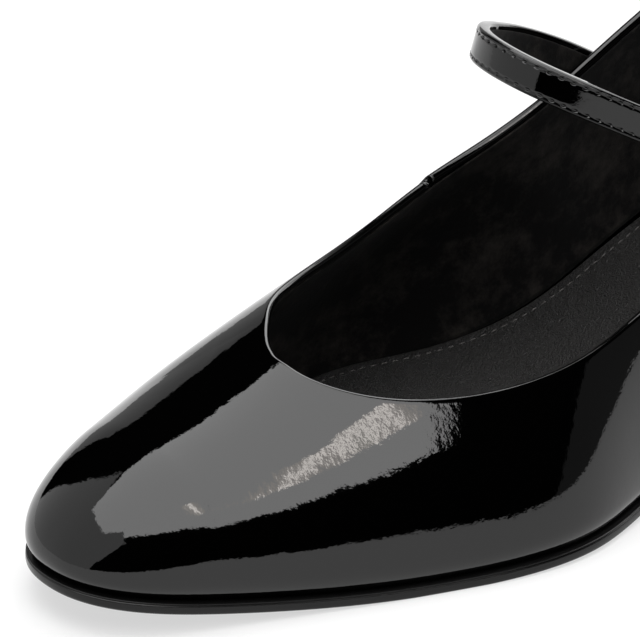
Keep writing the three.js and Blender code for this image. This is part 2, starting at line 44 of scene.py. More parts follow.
last = {
    "length": 246.0,
    "originStation": 222.0,      # the middle of the top piece stands on the frame's origin
    "wall": 1.8,
    "gap": 0.3,
    "underInset": 1.5,           # how far the upper curls in from its widest line to the sole
    "underPower": 2.2,
    "soleThickness": 2.35,
    "heelSeatInset": 1.5,
    "insoleThickness": 3.2,
    "toeRound": (83.0, 2.18),    # plan rounding: how far back it starts, and its power
    "heelRound": (32.0, 2.3),
    "noseRound": (23.5, 1.75),   # the same for the height
    "backRound": (40.0, 2.6),
    "ridgeFrom": 64.0,           # a wall column at the toe leans towards this station of the ridge
    "ridgeTo": 216.0,            # and one at the heel towards this one
}

# lateral, medial: half widths; shift: the ridge's place across; ridge: height of the last;
# seat: the feather edge over the floor; widest: the widest line over the feather edge;
# side, crown: powers that round the section's two halves
lastTable = {
    "station": [0, 22, 45, 70, 95, 115, 135, 155, 175, 195, 220, 246],
    "lateral": [33.6, 32.1, 34.3, 38.6, 42.2, 37.1, 33.2, 30.9, 29.3, 28.6, 28, 26],
    "medial": [33.7, 32.7, 36, 37.6, 39.9, 34.3, 28.5, 27.9, 27.3, 27.3, 27.5, 26],
    "shift": [-1.9, -2.9, -2.2, -0.3, 0, -0.4, -0.2, -0.1, 0, 0, 0, 0],
    "ridge": [17.8, 24.4, 33.9, 44.8, 51.7, 62.7, 72, 78.6, 82.5, 88, 95, 100],
    "seat": [9.6, 5.7, 3, 2.3, 3.1, 4, 9, 16.6, 24.5, 32.5, 37.5, 39],
    "widest": [3.2, 4.3, 4.7, 4.3, 4.5, 4.8, 6.1, 8, 11.5, 15.5, 19, 20],
    "lateralSide": [2.2, 2.3, 2.1, 2, 2, 2.15, 2.3, 2.25, 2.2, 2.2, 2.2, 2.2],
    "medialSide": [2.2, 2.1, 2.05, 2.05, 2.05, 2.2, 2.3, 2.25, 2.2, 2.2, 2.2, 2.2],
    "lateralCrown": [1.8, 1.73, 1.67, 1.5, 1.55, 1.77, 1.9, 1.85, 1.8, 1.75, 1.75, 1.8],
    "medialCrown": [2.1, 1.9, 1.8, 1.7, 1.73, 1.87, 1.93, 1.85, 1.8, 1.75, 1.75, 1.8],
}

# rise: up the wall from the widest line to the topline, by angle round the outline
riseTable = {
    "angle": [-180, -160, -135, -110, -90, -70, -52, -36, -22, -10, 0,
              10, 22, 36, 52, 70, 90, 110, 135, 160, 180],
    "rise": [37, 36.8, 38.3, 43.7, 47.4, 45.4, 45.4, 51.9, 57.7, 60.4, 60.5,
             58.6, 53.5, 43.6, 33.7, 31, 33.4, 33.6, 35.2, 36.4, 37],
}


def naturalSpline(xs, ys):
    # a natural cubic through the table; its bends come from the usual three-term equations
    xs, ys = np.array(xs, float), np.array(ys, float)
    step, rise = np.diff(xs), np.diff(ys)
    count = len(xs)
    terms, right = np.eye(count), np.zeros(count)
    for i in range(1, count - 1):
        terms[i, i - 1:i + 2] = step[i - 1], 2 * (step[i - 1] + step[i]), step[i]
        right[i] = 6 * (rise[i] / step[i] - rise[i - 1] / step[i - 1])
    bend = np.linalg.solve(terms, right)

    def value(places):
        x = np.clip(np.asarray(places, float), xs[0], xs[-1])
        i = np.clip(np.searchsorted(xs, x, side="right") - 1, 0, count - 2)
        left, rest, h = x - xs[i], xs[i + 1] - x, step[i]
        cubic = (bend[i] * rest ** 3 + bend[i + 1] * left ** 3) / (6 * h)
        start = (ys[i] / h - bend[i] * h / 6) * rest
        return cubic + start + (ys[i + 1] / h - bend[i + 1] * h / 6) * left
    return value


shape = {name: naturalSpline(lastTable["station"], lastTable[name]) for name in lastTable}
riseAngles, rises = np.array(riseTable["angle"], float), np.array(riseTable["rise"], float)
riseAt = naturalSpline(np.concatenate([riseAngles[-4:-1] - 360, riseAngles, riseAngles[1:4] + 360]),
                       np.concatenate([rises[-4:-1], rises, rises[1:4]]))


def smoothStep(value, low, high):
    # 0 below low, 1 above high, between them 3t squared less 2t cubed
    t = np.clip((value - low) / (high - low), 0, 1)
    return t * t * (3 - 2 * t)


def unit(vectors):
    # each vector over its own length
    return vectors / np.maximum(np.linalg.norm(vectors, axis=-1, keepdims=True), 1e-12)


def toFrame(points):
    # station to the frame's y, then millimetres to metres
    return (np.asarray(points) - [0, last["originStation"], 0]) * 0.001


def endRounding(station, front, back):
    # 1 in the middle, falling to 0 at both ends as a superellipse does
    a = np.clip(1 - station / front[0], 0, 1)
    b = np.clip(1 - (last["length"] - station) / back[0], 0, 1)
    toe = np.clip(1 - a ** front[1], 0, 1) ** (1 / front[1])
    return toe * np.clip(1 - b ** back[1], 0, 1) ** (1 / back[1])


def halfWidth(station, side):
    # the table's half width for that side, times the rounding of toe and heel
    widest = np.where(side > 0, shape["lateral"](station), shape["medial"](station))
    return widest * endRounding(station, last["toeRound"], last["heelRound"])


def sectionPowers(station, side):
    # the powers of that side of the section: across, then up to the crown
    power = np.where(side > 0, shape["lateralSide"](station), shape["medialSide"](station))
    crown = np.where(side > 0, shape["lateralCrown"](station), shape["medialCrown"](station))
    return power, crown


def topHeight(x, station):
    # the last above its widest line: a dome over the half width, raised to the ridge
    across = x - shape["shift"](station)
    ratio = np.clip(np.abs(across) / np.maximum(halfWidth(station, across), 1e-6), 0, 1)
    power, crown = sectionPowers(station, across)
    widest = shape["widest"](station)
    rounding = endRounding(station, last["noseRound"], last["backRound"])
    climb = (shape["ridge"](station) - widest) * rounding * (1 - ratio ** power) ** (1 / crown)
    return shape["seat"](station) + widest + climb


def wallPoint(side, station, height):
    # the same surface the other way round: how far out it is at a station and height
    widest = shape["widest"](station)
    climb = (height - shape["seat"](station) - widest) / (shape["ridge"](station) - widest)
    power, crown = sectionPowers(station, side)
    ratio = (1 - np.clip(climb, 0, 1) ** crown) ** (1 / power)
    x = shape["shift"](station) + side * halfWidth(station, side) * ratio
    return np.stack(np.broadcast_arrays(x, station, height), -1).astype(float)


def wallNormal(side, station, height):
    # along the wall cross up it, each over two millimetres, turned outwards
    along = wallPoint(side, station + 1, height) - wallPoint(side, station - 1, height)
    up = wallPoint(side, station, height + 1) - wallPoint(side, station, height - 1)
    return unit(np.cross(along, up)) * np.expand_dims(side, -1)


def outlinePoint(angle):
    # angle 0 is the toe tip, 180 the back of the heel, lateral angles are positive; the station
    # goes as one less the cosine, so points crowd at both ends
    turned = (angle + 540) % 360 - 180
    station = last["length"] * (1 - np.cos(np.radians(turned))) / 2
    side = np.where(turned >= 0, 1.0, -1.0)
    return shape["shift"](station) + side * halfWidth(station, side), station


def outlineFrame(angle):
    # a point of the widest outline, and the level direction that points in from it
    x, station = outlinePoint(angle)
    nextX, nextStation = outlinePoint(angle + 0.5)
    priorX, priorStation = outlinePoint(angle - 0.5)
    along = unit(np.stack([nextX - priorX, nextStation - priorStation], -1))
    return x, station, -along[:, 1], along[:, 0]


def alongColumns(points, wanted):
    # places at the wanted lengths along each column of points
    steps = np.linalg.norm(np.diff(points, axis=1), axis=-1)
    lengths = np.concatenate([np.zeros((len(points), 1)), np.cumsum(steps, 1)], 1)
    k = (lengths[:, None, :] < wanted[:, :, None]).sum(-1)
    k = np.clip(k, 1, points.shape[1] - 1)
    rows = np.arange(len(points))[:, None]
    share = (wanted - lengths[rows, k - 1]) / np.maximum(lengths[rows, k] - lengths[rows, k - 1], 1e-9)
    return points[rows, k - 1] + share[..., None] * (points[rows, k] - points[rows, k - 1])


def wallColumns(angles):
    # fine points up each column of the outer face, and each column's length up to the topline:
    # the curl under the widest line first, then a line towards the ridge laid on the dome
    x, station, inX, inStation = outlineFrame(angles)
    seat, widest = shape["seat"](station), shape["widest"](station)
    climb = np.linspace(0, 1, 14)[None, :-1]
    inset = last["underInset"] * (1 - climb) ** last["underPower"]
    low = np.stack([x[:, None] + inX[:, None] * inset, station[:, None] + inStation[:, None] * inset,
                    (seat + last["gap"])[:, None] + (widest - last["gap"])[:, None] * climb], -1)
    target = last["ridgeFrom"] + (last["ridgeTo"] - last["ridgeFrom"]) * station / last["length"]
    share = np.linspace(0, 1, 300)[None, :] ** 2
    highX = x[:, None] + (shape["shift"](target) - x)[:, None] * share
    highStation = station[:, None] + (target - station)[:, None] * share
    high = np.stack([highX, highStation, topHeight(highX, highStation)], -1)
    points = np.concatenate([low, high], 1)
    lowLength = np.linalg.norm(np.diff(points[:, :low.shape[1] + 1], axis=1), axis=-1).sum(1)
    return points, lowLength + riseAt((angles + 540) % 360 - 180)


def gridNormals(grid):
    # outward normals of a grid of columns that go round the shoe: along the rows cross up the columns
    around = np.roll(grid, -1, 0) - np.roll(grid, 1, 0)
    return unit(np.cross(around, np.gradient(grid, axis=1)))


def meshFromGrid(name, grid, wrapColumns=False, wrapRows=False):
    # quads between neighbouring points of a (columns, rows) grid, smooth shaded
    columns, rows = grid.shape[:2]
    c = np.arange(columns if wrapColumns else columns - 1)[:, None]
    r = np.arange(rows if wrapRows else rows - 1)[None, :]
    nextC, nextR = (c + 1) % columns, (r + 1) % rows
    corners = [c * rows + r, nextC * rows + r, nextC * rows + nextR, c * rows + nextR]
    faces = np.stack(np.broadcast_arrays(*corners), -1).reshape(-1, 4)
    return meshFromFaces(name, toFrame(grid.reshape(-1, 3)), faces)


def meshFromFaces(name, points, faces):
    # a smooth shaded mesh of faces that all have the same number of corners
    mesh = bpy.data.meshes.new(name)
    faces = np.asarray(faces)
    mesh.vertices.add(len(points))
    mesh.vertices.foreach_set("co", np.asarray(points, float).ravel())
    mesh.loops.add(faces.size)
    mesh.loops.foreach_set("vertex_index", faces.ravel())
    mesh.polygons.add(len(faces))
    mesh.polygons.foreach_set("loop_start", np.arange(len(faces)) * faces.shape[1])
    mesh.polygons.foreach_set("use_smooth", np.ones(len(faces), bool))
    mesh.update()
    mesh.validate()
    piece = bpy.data.objects.new(name, mesh)
    bpy.context.collection.objects.link(piece)
    return piece


def closed(piece, distance=1e-6):
    # merges the doubles at seams and poles, then turns every face outwards
    mesh = bmesh.new()
    mesh.from_mesh(piece.data)
    bmesh.ops.remove_doubles(mesh, verts=mesh.verts, dist=distance)
    bmesh.ops.recalc_face_normals(mesh, faces=mesh.faces)
    mesh.to_mesh(piece.data)
    mesh.free()
    return piece


def finishPiece(piece, material, slot, *nodes):
    # its finish, the body it rides on and the solids that it stands for
    piece.data.materials.append(material)
    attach(piece, "root")
    if nodes:
        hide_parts(*nodes)
    return piece


def newMaterial(name):
    # an empty finish and the parts of it that the others need
    material = bpy.data.materials.new(name)
    material.use_nodes = True
    nodes = material.node_tree.nodes
    return material, nodes, material.node_tree.links, nodes["Principled BSDF"]


def addNode(nodes, kind, **settings):
    # a setting with the name of a socket goes to that socket, any other to the node
    node = nodes.new(kind)
    for key, value in settings.items():
        if key in node.inputs:
            node.inputs[key].default_value = value
        else:
            setattr(node, key, value)
    return node


patent = {
    "colour": (0.0003, 0.0003, 0.0003, 1),
    "roughness": 0.03,
    "ior": 1.5,
    "grainScale": 2600.0,        # grains a metre
    "grainDepth": 0.0000045,
    "rippleScale": 620.0,
    "rippleDepth": 0.000016,
    "waveScale": 90.0,
    "waveDepth": 0.00011,
}


def bumpChain(nodes, links, shader, layers):
    # noise of several sizes, each added to the normal of the one before; layers: scale, depth
    place = addNode(nodes, "ShaderNodeTexCoord")
    before = None
    for scale, depth in layers:
        noise = addNode(nodes, "ShaderNodeTexNoise", Scale=scale, Detail=1.0)
        bump = addNode(nodes, "ShaderNodeBump", Distance=depth)
        links.new(place.outputs["Object"], noise.inputs["Vector"])
        links.new(noise.outputs["Fac"], bump.inputs["Height"])
        if before:
            links.new(before.outputs["Normal"], bump.inputs["Normal"])
        before = bump
    links.new(before.outputs["Normal"], shader.inputs["Normal"])
    return place


def patentMaterial():
    # a black lacquer, its grain and ripples making reflections' edges ragged
    material, nodes, links, shader = newMaterial("blackPatent")
    shader.inputs["Base Color"].default_value = patent["colour"]
    shader.inputs["Roughness"].default_value = patent["roughness"]
    shader.inputs["IOR"].default_value = patent["ior"]
    layers = [(patent[size + "Scale"], patent[size + "Depth"]) for size in ("wave", "ripple", "grain")]
    bumpChain(nodes, links, shader, layers)
    return material


lining = {
    "dark": (0.0002, 0.00018, 0.00016, 1), "light": (0.03, 0.026, 0.023, 1),
    "tones": (0.46, 0.74),
    "roughness": 0.95, "gloss": 0.2,
    "sheen": 0.04, "sheenRoughness": 0.4,
    "patchScale": 70.0,
    "napScale": 420.0, "fibreScale": 3800.0,
    "napDepth": 0.00008, "fibreDepth": 0.00006,
}


def twoTones(nodes, low, high, lowTone, highTone):
    # one tone below the low value, the other above the high one
    ramp = addNode(nodes, "ShaderNodeValToRGB")
    first, second = ramp.color_ramp.elements
    first.position, second.position = low, high
    first.color, second.color = lowTone, highTone
    return ramp


def liningMaterial():
    # brushed microfibre: patches of nap in two browns, with a fuzzy sheen
    material, nodes, links, shader = newMaterial("liningCloth")
    shader.inputs["Roughness"].default_value = lining["roughness"]
    shader.inputs["Specular IOR Level"].default_value = lining["gloss"]
    shader.inputs["Sheen Weight"].default_value = lining["sheen"]
    shader.inputs["Sheen Roughness"].default_value = lining["sheenRoughness"]
    place = bumpChain(nodes, links, shader, [(lining["napScale"], lining["napDepth"]),
                                             (lining["fibreScale"], lining["fibreDepth"])])
    nap = addNode(nodes, "ShaderNodeTexNoise", Scale=lining["patchScale"], Detail=7.0, Roughness=0.78)
    ramp = twoTones(nodes, *lining["tones"], lining["dark"], lining["light"])
    links.new(place.outputs["Object"], nap.inputs["Vector"])
    links.new(nap.outputs["Fac"], ramp.inputs["Fac"])
    links.new(ramp.outputs["Color"], shader.inputs["Base Color"])
    return material


# the darker tone is painted shade for the creases between the pebbles; the lighter one is the leather's own
# tone
sock = {
    "shadedValley": (0.004, 0.0038, 0.0036, 1), "crown": (0.018, 0.017, 0.0165, 1),
    "tones": (0.25, 0.7),
    "roughness": 0.42, "gloss": 0.4,
    "pebbleScale": (3200.0, 2400.0, 2400.0),
    "pebbleDepth": 0.0005,
}


def sockMaterial():
    # pebbled leather: rounded cells, with painted shade darkening the creases between them
    material, nodes, links, shader = newMaterial("sockLeather")
    shader.inputs["Roughness"].default_value = sock["roughness"]
    shader.inputs["Specular IOR Level"].default_value = sock["gloss"]
    place = addNode(nodes, "ShaderNodeTexCoord")
    stretch = addNode(nodes, "ShaderNodeMapping")
    stretch.inputs["Scale"].default_value = sock["pebbleScale"]
    cells = addNode(nodes, "ShaderNodeTexVoronoi", Scale=1.0, Randomness=0.9)
    cells.feature = "SMOOTH_F1"
    cells.inputs["Smoothness"].default_value = 0.25
    bump = addNode(nodes, "ShaderNodeBump", Distance=sock["pebbleDepth"], invert=True)
    # painted shade: the colour goes darker towards the cells' edges, down in the creases
    ramp = twoTones(nodes, *sock["tones"], sock["crown"], sock["shadedValley"])
    links.new(place.outputs["Object"], stretch.inputs["Vector"])
    links.new(stretch.outputs["Vector"], cells.inputs["Vector"])
    links.new(cells.outputs["Distance"], bump.inputs["Height"])
    links.new(cells.outputs["Distance"], ramp.inputs["Fac"])
    links.new(ramp.outputs["Color"], shader.inputs["Base Color"])
    links.new(bump.outputs["Normal"], shader.inputs["Normal"])
    return material


soleFinish = {
    "colour": (0.004, 0.004, 0.004, 1),
    "roughness": 0.24, "gloss": 0.3,
    "lineScale": (60.0, 60.0, 4200.0),   # long and level
    "lineDepth": 0.00003,
}


def soleMaterial():
    # satin black rubber, with fine lines left along the edge by trimming
    material, nodes, links, shader = newMaterial("soleBlack")
    shader.inputs["Base Color"].default_value = soleFinish["colour"]
    shader.inputs["Roughness"].default_value = soleFinish["roughness"]
    shader.inputs["Specular IOR Level"].default_value = soleFinish["gloss"]
    place = addNode(nodes, "ShaderNodeTexCoord")
    flatten = addNode(nodes, "ShaderNodeMapping")
    flatten.inputs["Scale"].default_value = soleFinish["lineScale"]
    lines = addNode(nodes, "ShaderNodeTexNoise", Scale=1.0, Detail=3.0)
    bump = addNode(nodes, "ShaderNodeBump", Distance=soleFinish["lineDepth"])
    links.new(place.outputs["Object"], flatten.inputs["Vector"])
    links.new(flatten.outputs["Vector"], lines.inputs["Vector"])
    links.new(lines.outputs["Fac"], bump.inputs["Height"])
    links.new(bump.outputs["Normal"], shader.inputs["Normal"])
    return material


# the small finishes: colour, roughness, and the scale and depth of each size of bump
smallFinishes = {
    "liftRubber": ((0.008, 0.008, 0.008), 0.6, [(900.0, 0.00005), (5000.0, 0.00002)]),
    "buckleMetal": ((0.62, 0.61, 0.59), 0.16, [(700.0, 0.000004), (6000.0, 0.000001)]),
    "threadGrey": ((0.05, 0.047, 0.045), 0.65, [(9000.0, 0.00002)]),
    "threadBlack": ((0.012, 0.012, 0.012), 0.65, [(9000.0, 0.00002)]),
}


def smallMaterial(name, metallic=0.0):
    # one colour, its roughness, and a bump for each size of mark: rubber, steel and thread
    colour, roughness, layers = smallFinishes[name]
    material, nodes, links, shader = newMaterial(name)
    shader.inputs["Base Color"].default_value = (*colour, 1)
    shader.inputs["Metallic"].default_value = metallic
    shader.inputs["Roughness"].default_value = roughness
    bumpChain(nodes, links, shader, layers)
    return material


def plainMaterial(name, colour, roughness):
    # for the floor only
    material, nodes, links, shader = newMaterial(name)
    shader.inputs["Base Color"].default_value = (*colour, 1)
    shader.inputs["Roughness"].default_value = roughness
    return material


def glowMaterial(name, colour, strength):
    # for the lit panels: light and nothing else
    material = bpy.data.materials.new(name)
    material.use_nodes = True
    nodes = material.node_tree.nodes
    nodes.clear()
    glow = addNode(nodes, "ShaderNodeEmission", Color=(*colour, 1), Strength=strength)
    out = nodes.new("ShaderNodeOutputMaterial")
    material.node_tree.links.new(glow.outputs[0], out.inputs["Surface"])
    return material


view = {
    "azimuth": 50.88, "elevation": 27.33, "roll": 0.37,
    "distance": 1.0632,
    "lens": 310.2, "sensor": 36,
    "target": (-27.04, 84.44, 25.11),    # across, station, height
    "clip": (0.05, 60),
}


def addCamera():
    # stands back from its target along the view, then rolls about it
    azimuth, elevation = math.radians(view["azimuth"]), math.radians(view["elevation"])
    back = Vector((math.sin(azimuth) * math.cos(elevation),
                   -math.cos(azimuth) * math.cos(elevation), math.sin(elevation)))
    target = Vector(toFrame(view["target"]))
    data = bpy.data.cameras.new("camera")
    data.lens = view["lens"]
    data.sensor_width = view["sensor"]
    data.clip_start, data.clip_end = view["clip"]
    camera = bpy.data.objects.new("camera", data)
    bpy.context.collection.objects.link(camera)
    roll = Matrix.Rotation(math.radians(view["roll"]), 3, "Z")
    turn = (-back).to_track_quat("-Z", "Y").to_matrix() @ roll
    camera.matrix_world = Matrix.Translation(target + back * view["distance"]) @ turn.to_4x4()
    bpy.context.scene.camera = camera


studio = {
    "floorSize": 6.0,
    "floorColour": (0.21, 0.21, 0.21), "floorRoughness": 0.9,
    "floorGlow": 0.62,           # lifts the floor to plain white, and the shadow with it
    "boxHeight": 3.5,
    "boxCorners": [(1.2, -3.2), (6.3, -0.3), (6.3, 0.0), (3.0, 0.1), (-2.0, 1.0), (-2.0, -2.0)],
    "boxGlow": 3.7,
    # a warm streak in the box, as nested strips, each a drop lower: half width, glow
    "streak": [(2.3, -0.50), (3.75, -0.335)], "streakTint": (1, 0.95, 0.9), "streakDrop": 0.01,
    "streakStrips": {"wide": (0.2, 4.4), "middle": (0.09, 6.0), "narrow": (0.04, 12.0)},
    "domeRadius": 4.5, "domeColumns": 12,
    # pale panels round the set: rows of elevation, azimuth from, azimuth to
    "toePanel": [(0, -88, 14), (14, -84, 19), (28, -78, 30), (40, -74, 42), (56, -72, 25)],
    "farPanel": [(0, -99, -176), (12, -99, -176), (24, -99, -176)],
    "rearPanel": [(0, 106, 184), (10, 112, 184), (20, 120, 184), (32, 129, 184), (45, 140, 184)],
    "highPanel": [(22, 158, 228), (45, 152, 231), (62, 148, 231)],
    "glows": {"highPanel": 4.0, "toePanel": 0.85, "farPanel": 0.35, "rearPanel": 0.13},
    "fill": {"size": 3.0, "height": 3.3, "power": 90.0},
}


def stagePiece(name, points, faces, material):
    # part of the set, not of the shoe
    piece = meshFromFaces(name, points, faces)
    piece.data.materials.append(material)


def domePanel(name):
    # a patch of a dome round the shoe, its two sides given row by row
    rows = np.array(studio[name], float)
    elevation = np.radians(rows[:, :1])
    columns = studio["domeColumns"]
    share = np.linspace(0, 1, columns)
    azimuth = np.radians(rows[:, 1:2] + (rows[:, 2:3] - rows[:, 1:2]) * share)
    level = np.cos(elevation) * studio["domeRadius"]
    points = np.stack([np.sin(azimuth) * level, -np.cos(azimuth) * level,
                       np.broadcast_to(np.sin(elevation) * studio["domeRadius"], azimuth.shape)], -1)
    r, c = np.meshgrid(np.arange(len(rows) - 1), np.arange(columns - 1), indexing="ij")
    first = (r * columns + c).ravel()
    faces = np.stack([first, first + 1, first + columns + 1, first + columns], -1)
    glow = glowMaterial(name + "Glow", (1, 1, 1), studio["glows"][name])
    stagePiece(name, points.reshape(-1, 3), faces, glow)


def addStudio():
    # a black room with a white floor, an overhead box, panels round it, and a fill unseen in gloss
    world = bpy.data.worlds.new("studio")
    world.use_nodes = True
    world.node_tree.nodes["Background"].inputs["Color"].default_value = (0, 0, 0, 1)
    bpy.context.scene.world = world
    half = studio["floorSize"]
    corners = [(-half, -half, 0), (half, -half, 0), (half, half, 0), (-half, half, 0)]
    floor = plainMaterial("floorWhite", studio["floorColour"], studio["floorRoughness"])
    shader = floor.node_tree.nodes["Principled BSDF"]
    shader.inputs["Emission Color"].default_value = (1, 1, 1, 1)
    shader.inputs["Emission Strength"].default_value = studio["floorGlow"]
    stagePiece("floor", corners, [[0, 1, 2, 3]], floor)
    points = [(x, y, studio["boxHeight"]) for x, y in studio["boxCorners"]]
    stagePiece("box", points, [list(range(len(points)))[::-1]],
               glowMaterial("boxGlow", (1, 1, 1), studio["boxGlow"]))
    (startX, startY), (endX, endY) = studio["streak"]
    for drop, (name, (reach, glow)) in enumerate(studio["streakStrips"].items(), 1):
        height = studio["boxHeight"] - studio["streakDrop"] * drop
        points = [(startX, startY - reach, height), (endX, endY - reach, height),
                  (endX, endY + reach, height), (startX, startY + reach, height)]
        tinted = glowMaterial(name + "Glow", studio["streakTint"], glow)
        stagePiece(name + "Strip", points, [[3, 2, 1, 0]], tinted)
    for name in studio["glows"]:
        domePanel(name)
    fill = bpy.data.lights.new("fill", "AREA")
    fill.shape = "SQUARE"
    fill.size = studio["fill"]["size"]
    fill.energy = studio["fill"]["power"]
    lamp = bpy.data.objects.new("fill", fill)
    lamp.location = (0, 0, studio["fill"]["height"])
    lamp.visible_glossy = False
    bpy.context.collection.objects.link(lamp)


addCamera()
addStudio()
print("studio done")

upper = {
    "columns": 760,
    "outerRows": 96,
    "foldRows": 11,
    "innerRows": 12,
    "rowPower": 1.25,            # over 1, rows are closer low on the wall
    "foldRadius": 0.85,
    "liningTop": 1.7,            # the lining starts this far below the topline
    "liningFrom": 1.72,
    "liningThickness": 0.45,
    "seamStation": 108.0,        # where the vamp and quarter meet at the medial topline
    "seamRise": 0.55, "seamStep": 0.3,
    "seamFade": 14.0,            # behind the seam the step fades by e in this many millimetres
    "seamEase": 0.15,
    "seamFoot": (0.03, 0.12),    # shares up the wall over which the step comes in
    "seamSpread": 1.4, "seamColumns": 40,     # degrees either side, and extra columns there
    # bells along the seam: depth, place in front of it, width
    "seamDip": (0.3, 0.5, 0.7), "seamGroove": (0.12, 0.3, 0.35),
    "liningFoot": 0.3,           # share of the widest line's height where the lining starts
    "liningRows": 40, "liningFoldRows": 7,
}

# soft creases: angle round the outline, share up the wall, tilt from level, half length,
# half width and depth; a negative depth is a ridge
creases = [
    (88, 0.10, 35, 2.6, 0.45, 0.20),      # a short sharp fold low on the lateral side
    (-16, 0.93, -30, 5.0, 1.6, 0.10),     # ripples where the throat was pulled over the last
    (-22, 0.86, -38, 6.5, 1.8, 0.09),
    (-12, 0.84, -20, 4.5, 1.5, -0.06),
    (-34, 0.80, -52, 8.0, 2.4, 0.08),
    (-40, 0.62, -60, 9.0, 3.0, -0.05),
    (40, 0.72, 48, 8.0, 2.6, 0.05),
    (20, 0.55, 25, 10.0, 3.4, 0.04),
]


def evenAngles(count):
    # the middles of equal steps once round
    return -180 + 360 * (np.arange(count) + 0.5) / count


def foldOver(edge, out, up, radius, start, rows):
    # half a turn from the edge over to the other side of a wall, start being its depth
    turn = np.linspace(0, np.pi, rows)[None, 1:-1, None]
    return edge - out * (start + radius * (1 - np.cos(turn))) + up * radius * np.sin(turn)


def creaseDepth(angles, places, outer):
    # each crease is a bell across its line and along it, both in millimetres on the wall
    depth = np.zeros(outer.shape[:2])
    for angle, share, tilt, length, width, deep in creases:
        i = np.argmin(np.abs(angles - angle))
        j = np.argmin(np.abs(places - share))
        level = unit(outer[min(i + 4, len(angles) - 1), j] - outer[i - 4, j])
        up = unit(outer[i, min(j + 3, len(places) - 1)] - outer[i, j - 3])
        line = level * math.cos(math.radians(tilt)) + up * math.sin(math.radians(tilt))
        gap = outer - outer[i, j]
        along = gap @ line
        aside = np.sqrt(np.maximum((gap ** 2).sum(-1) - along ** 2, 0))
        depth += deep * np.exp(-(along / length) ** 2 - (aside / width) ** 2)
    return depth


def bell(behind, deep, front, width):
    # deep where behind is minus front, falling off as e to the minus square of distance over width
    return deep * np.exp(-((behind + front) / width) ** 2)


def seamAngle():
    # the medial column whose topline point has the seam's station
    angles = np.linspace(-120, -30, 361)
    points, total = wallColumns(angles)
    tops = alongColumns(points, total[:, None])[:, 0]
    return angles[np.argmin(np.abs(tops[:, 1] - upper["seamStation"]))]


def buildUpper():
    # rows up the outer face, half a turn over the topline, rows down the inner face; columns are
    # closer at the seam, where the quarter stands a step proud of the vamp and a little higher
    seam, spread = seamAngle(), upper["seamSpread"]
    extra = seam + np.linspace(-spread, spread, upper["seamColumns"])
    angles = np.sort(np.concatenate([evenAngles(upper["columns"]), extra]))
    points, total = wallColumns(angles)
    radius = upper["foldRadius"]
    behind = (seam - angles) * math.pi * last["length"] / 360     # millimetres round the outline
    ease = upper["seamEase"]
    raised = smoothStep(behind, -ease, ease) * (angles > -175)
    raised = raised * np.exp(-np.maximum(behind, 0) / upper["seamFade"])
    total = total + upper["seamRise"] * raised - bell(behind, *upper["seamDip"])
    places = np.linspace(0, 1, upper["outerRows"]) ** upper["rowPower"]
    outer = alongColumns(points, (total - radius)[:, None] * places[None, :])
    normal = gridNormals(outer)
    depth = creaseDepth(angles, places, outer)
    step = upper["seamStep"] * raised[:, None] * smoothStep(places, *upper["seamFoot"])[None, :]
    groove = bell(behind, *upper["seamGroove"])[:, None]
    outer = outer - normal * (depth - step + groove)[..., None]
    normal = gridNormals(outer)
    edge, out = outer[:, -1:], normal[:, -1:]
    up = unit(outer[:, -1:] - outer[:, -2:-1])
    up = unit(up - out * (up * out).sum(-1, keepdims=True))
    fold = foldOver(edge, out, up, radius, 0, upper["foldRows"])
    keep = np.unique(np.linspace(0, upper["outerRows"] - 1, upper["innerRows"]).astype(int))[::-1]
    inner = outer - normal * 2 * radius
    grid = np.concatenate([outer, fold, inner[:, keep]], 1)
    finishPiece(meshFromGrid("upper_leather", grid, True, True), patentBlack, "patent_leather", "upper")


def buildLining():
    # the inner face again, moved in by the leather's thickness, with a rounded top edge
    angles = evenAngles(upper["columns"] // 2)
    points, total = wallColumns(angles)
    start = shape["widest"](outlinePoint(angles)[1]) * upper["liningFoot"]
    places = np.linspace(0, 1, upper["liningRows"])
    reach = start[:, None] + (total - start - upper["liningTop"])[:, None] * places
    outer = alongColumns(points, reach)
    normal = gridNormals(outer)
    near, thickness = upper["liningFrom"], upper["liningThickness"]
    up = unit(outer[:, -1:] - outer[:, -2:-1])
    fold = foldOver(outer[:, -1:], normal[:, -1:], up, thickness / 2, near, upper["liningFoldRows"])
    grid = np.concatenate([outer - normal * near, fold, (outer - normal * (near + thickness))[:, ::-1]], 1)
    finishPiece(meshFromGrid("lining", grid, True, True), liningCloth, "lining")


sole = {
    "columns": 480,
    # the edge's profile: inset, share of the thickness from the tread up
    "edge": [(1.2, 0.0), (0.6, 0.0), (0.28, 0.03), (0.07, 0.13), (0.0, 0.28), (0.0, 0.5), (0.02, 0.7),
             (0.06, 0.78), (0.34, 0.81), (0.36, 0.87), (0.12, 0.9), (0.08, 0.94), (0.14, 0.98), (0.35, 1.0)],
    "acrossRows": [0.12, 0.35, 0.65, 1.0],
    "seatFade": (140, 190),      # stations over which the sole draws in under the heel
    "middleEnds": (8, 12),       # the line a flat face closes on stops this far from toe and heel
    "sockEdge": 0.5,             # rounding of the sock's rim
    "sockUnder": (0.8, 0.4),     # the sock's lower edge: in and up
    "sockRows": [0.05, 0.15, 0.3, 0.45, 0.6, 0.75, 0.9, 1.0],
    "stitchEnd": 168, "stitchSamples": 900,   # degrees either side of the toe tip
    "stitchInset": 2.5,          # the sock's stitch line in from its rim
    "stitchPitch": 2.35,
    "stitchLength": 1.55,
    "threadRadius": 0.16,
    "threadStand": 0.05, "threadDip": 0.25,   # over the sock in mid stitch, and under it at the ends
}


